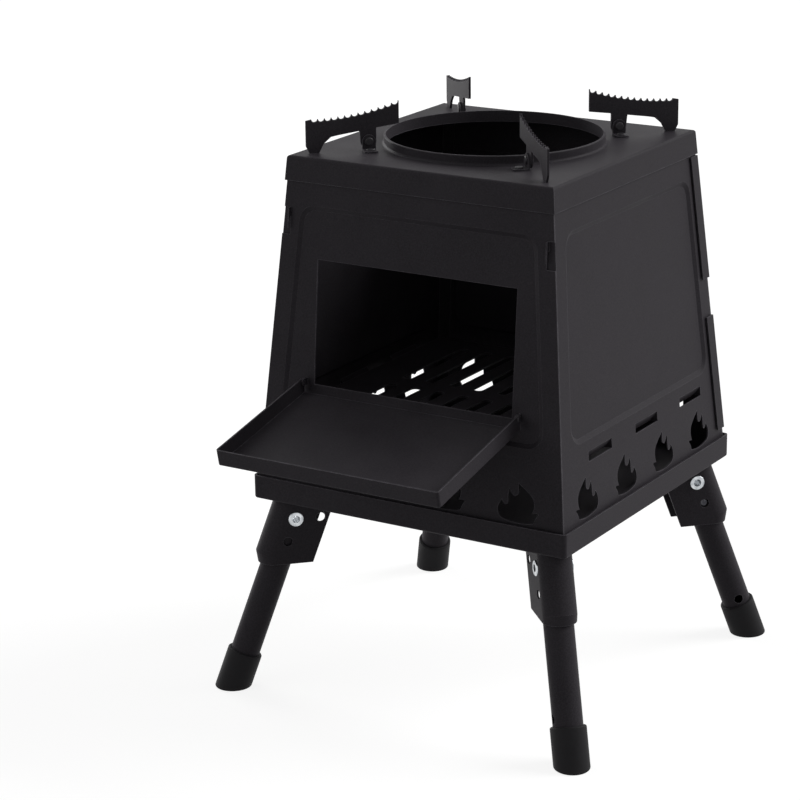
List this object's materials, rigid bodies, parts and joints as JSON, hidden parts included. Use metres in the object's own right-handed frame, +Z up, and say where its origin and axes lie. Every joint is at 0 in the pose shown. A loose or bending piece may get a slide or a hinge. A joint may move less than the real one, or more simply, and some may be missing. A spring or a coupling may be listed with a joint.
{
  "type": "portable fire pit",
  "caption": "Folding camp fire pit with a tapered sheet steel body, front window with fold-down door tray, ring opening with toothed pot supports, and splayed folding tube legs.",
  "frame": {"origin": "the middle of the ground that the stove covers with its legs out and its door down", "axes": "+Z up; the front with the window and door faces -Y; +X to the right when facing the front"},
  "size_m": [0.3624, 0.4476, 0.5034],
  "materials": {
    "black_paint": "matt black heat-resistant stove paint on steel sheet",
    "zinc_rivet": "bright zinc plated rivet",
    "black_rivet": "rivet painted over with the black stove paint",
    "black_rubber": "moulded black rubber cap",
    "spring_steel": "blackened spring steel"
  },
  "bodies": {
    "stove_body": {"base_tray": "black_paint", "front_panel": "black_paint", "back_panel": "black_paint", "left_panel": "black_paint", "right_panel": "black_paint", "fire_grate": "black_paint", "door_pins": "black_rivet", "bracket_rivets": "black_rivet", "leg_bracket_front_left": "black_paint", "leg_bracket_front_right": "black_paint", "leg_bracket_back_right": "black_paint", "leg_bracket_back_left": "black_paint", "leg_pivot_front_left": "zinc_rivet", "leg_pivot_front_right": "zinc_rivet", "leg_pivot_back_right": "zinc_rivet", "leg_pivot_back_left": "zinc_rivet"},
    "top": {"top_plate": "black_paint", "support_rivets": "black_rivet", "support_bracket_front_left": "black_paint", "support_bracket_front_right": "black_paint", "support_bracket_back_right": "black_paint", "support_bracket_back_left": "black_paint", "support_pivot_front_left": "black_rivet", "support_pivot_front_right": "black_rivet", "support_pivot_back_right": "black_rivet", "support_pivot_back_left": "black_rivet"},
    "door": {"door_tray": "black_paint"},
    "leg_front_left": {"leg_tube_front_left": "black_paint", "foot_cap_front_left": "black_rubber", "lock_spring_front_left": "spring_steel"},
    "button_front_left": {"lock_button_front_left": "spring_steel"},
    "support_front_left": {"pot_support_front_left": "black_paint"},
    "leg_front_right": {"leg_tube_front_right": "black_paint", "foot_cap_front_right": "black_rubber", "lock_spring_front_right": "spring_steel"},
    "button_front_right": {"lock_button_front_right": "spring_steel"},
    "support_front_right": {"pot_support_front_right": "black_paint"},
    "leg_back_right": {"leg_tube_back_right": "black_paint", "foot_cap_back_right": "black_rubber", "lock_spring_back_right": "spring_steel"},
    "button_back_right": {"lock_button_back_right": "spring_steel"},
    "support_back_right": {"pot_support_back_right": "black_paint"},
    "leg_back_left": {"leg_tube_back_left": "black_paint", "foot_cap_back_left": "black_rubber", "lock_spring_back_left": "spring_steel"},
    "button_back_left": {"lock_button_back_left": "spring_steel"},
    "support_back_left": {"pot_support_back_left": "black_paint"}
  },
  "joints": [
    {"name": "top_lift", "type": "slide", "parent": "stove_body", "child": "top", "axis": [0, 0, 1], "range_m": [0, 0.06]},
    {"name": "door_fold", "type": "hinge", "parent": "stove_body", "child": "door", "pos_m": [0, -0.09935, 0.27748], "axis": [-1, 0, 0], "range_deg": [0, 107.09]},
    {"name": "leg_fold_front_left", "type": "hinge", "parent": "stove_body", "child": "leg_front_left", "pos_m": [-0.12643, -0.08377, 0.15218], "axis": [0.7071, -0.7071, 0], "range_deg": [0, 110.24]},
    {"name": "lock_press_front_left", "type": "slide", "parent": "leg_front_left", "child": "button_front_left", "axis": [0.7071, -0.7071, 0], "range_m": [0, 0.0025], "stiffness_N_per_m": 800, "springref_m": -0.001, "deforming": ["lock_spring_front_left"]},
    {"name": "support_tilt_front_left", "type": "hinge", "parent": "top", "child": "support_front_left", "pos_m": [-0.07601, -0.03336, 0.47108], "axis": [-0.7071, 0.7071, 0], "range_deg": [0, 30]},
    {"name": "leg_fold_front_right", "type": "hinge", "parent": "stove_body", "child": "leg_front_right", "pos_m": [0.12643, -0.08377, 0.15218], "axis": [0.7071, 0.7071, 0], "range_deg": [0, 110.24]},
    {"name": "lock_press_front_right", "type": "slide", "parent": "leg_front_right", "child": "button_front_right", "axis": [0.7071, 0.7071, 0], "range_m": [0, 0.0025], "stiffness_N_per_m": 800, "springref_m": -0.001, "deforming": ["lock_spring_front_right"]},
    {"name": "support_tilt_front_right", "type": "hinge", "parent": "top", "child": "support_front_right", "pos_m": [0.07601, -0.03336, 0.47108], "axis": [-0.7071, -0.7071, 0], "range_deg": [0, 30]},
    {"name": "leg_fold_back_right", "type": "hinge", "parent": "stove_body", "child": "leg_back_right", "pos_m": [0.12643, 0.16909, 0.15218], "axis": [-0.7071, 0.7071, 0], "range_deg": [0, 110.24]},
    {"name": "lock_press_back_right", "type": "slide", "parent": "leg_back_right", "child": "button_back_right", "axis": [-0.7071, 0.7071, 0], "range_m": [0, 0.0025], "stiffness_N_per_m": 800, "springref_m": -0.001, "deforming": ["lock_spring_back_right"]},
    {"name": "support_tilt_back_right", "type": "hinge", "parent": "top", "child": "support_back_right", "pos_m": [0.07601, 0.11867, 0.47108], "axis": [0.7071, -0.7071, 0], "range_deg": [0, 30]},
    {"name": "leg_fold_back_left", "type": "hinge", "parent": "stove_body", "child": "leg_back_left", "pos_m": [-0.12643, 0.16909, 0.15218], "axis": [-0.7071, -0.7071, 0], "range_deg": [0, 110.24]},
    {"name": "lock_press_back_left", "type": "slide", "parent": "leg_back_left", "child": "button_back_left", "axis": [-0.7071, -0.7071, 0], "range_m": [0, 0.0025], "stiffness_N_per_m": 800, "springref_m": -0.001, "deforming": ["lock_spring_back_left"]},
    {"name": "support_tilt_back_left", "type": "hinge", "parent": "top", "child": "support_back_left", "pos_m": [-0.07601, 0.11867, 0.47108], "axis": [0.7071, 0.7071, 0], "range_deg": [0, 30]}
  ]
}
